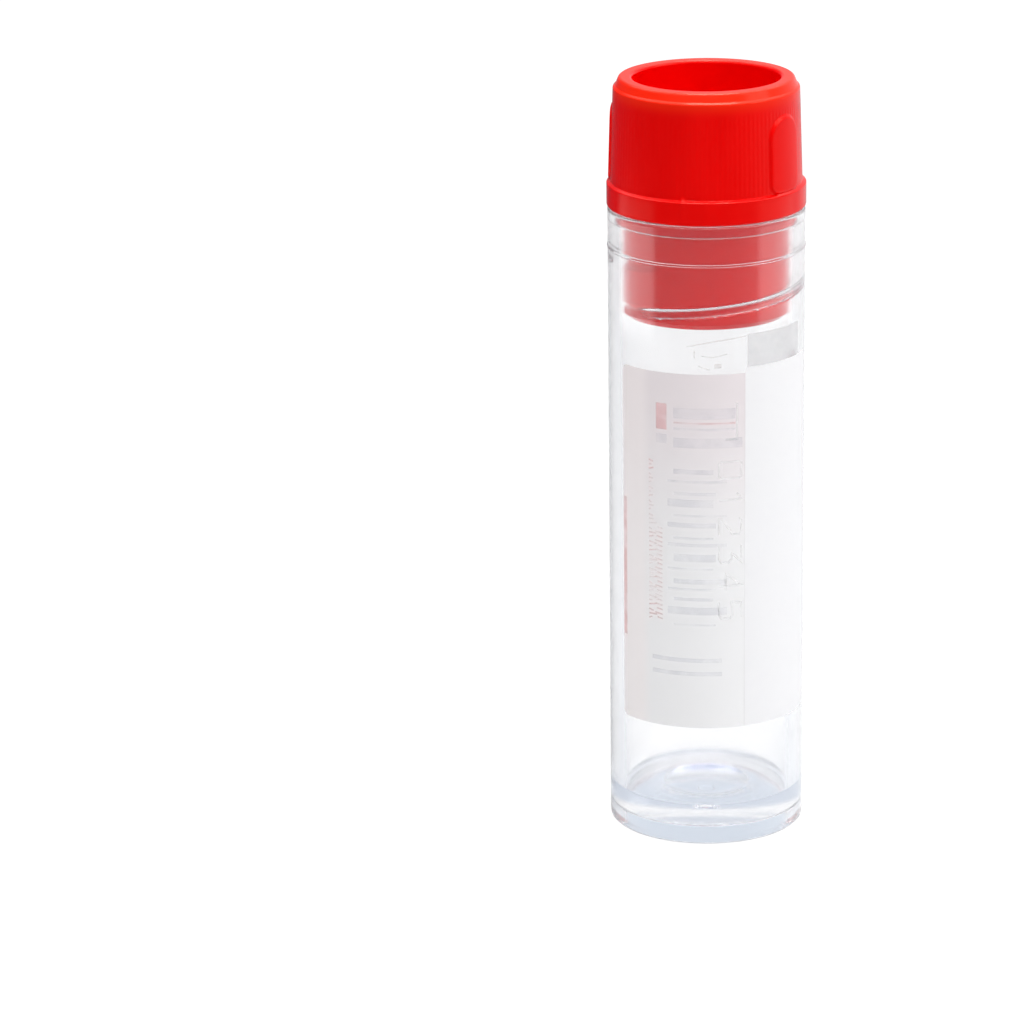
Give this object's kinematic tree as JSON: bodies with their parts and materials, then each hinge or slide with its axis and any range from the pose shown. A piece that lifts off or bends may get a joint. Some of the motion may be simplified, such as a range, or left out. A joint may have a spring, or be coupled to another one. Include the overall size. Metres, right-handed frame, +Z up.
{
  "type": "cryovial",
  "caption": "Clear self-standing cryogenic storage vial with an internal right-hand thread, a silicone seal ring and a red ribbed screw cap that turns and lifts out.",
  "frame": {"origin": "centre of the circle that the foot ring stands on", "axes": "+Z up along the vial's axis, from the foot to the cap; -Y towards the front, where the label and the writing field meet"},
  "size_m": [0.0126, 0.0126, 0.0491],
  "materials": {
    "clear_tube": "clear moulded polypropylene, glossy inside and out",
    "seal": "natural translucent silicone, satin",
    "red_cap": "opaque red polypropylene, satin, slightly glossy on the smooth faces",
    "white_ink": "opaque white writing field, matt printing ink",
    "grey_ink": "thin translucent grey label field with plain bars and rules",
    "dark_ink": "faint blue-grey print: bars and scale marks",
    "red_ink": "faint red print: rule and small marks"
  },
  "bodies": {
    "tube": {"tube": "clear_tube"},
    "seal": {"seal_ring": "seal"},
    "cap": {"cap": "red_cap"}
  },
  "joints": [
    {"name": "cap_lift", "type": "slide", "parent": "tube", "child": "seal", "axis": [0, 0, 1], "range_m": [0, 0.0075]},
    {"name": "cap_turn", "type": "hinge", "parent": "seal", "child": "cap", "pos_m": [0, 0, 0.0409], "axis": [0, 0, 1], "range_deg": [0, 900]}
  ],
  "couplings": [
    {"joint": "cap_turn", "follows": "cap_lift", "rad_per_m": 2094.4}
  ]
}
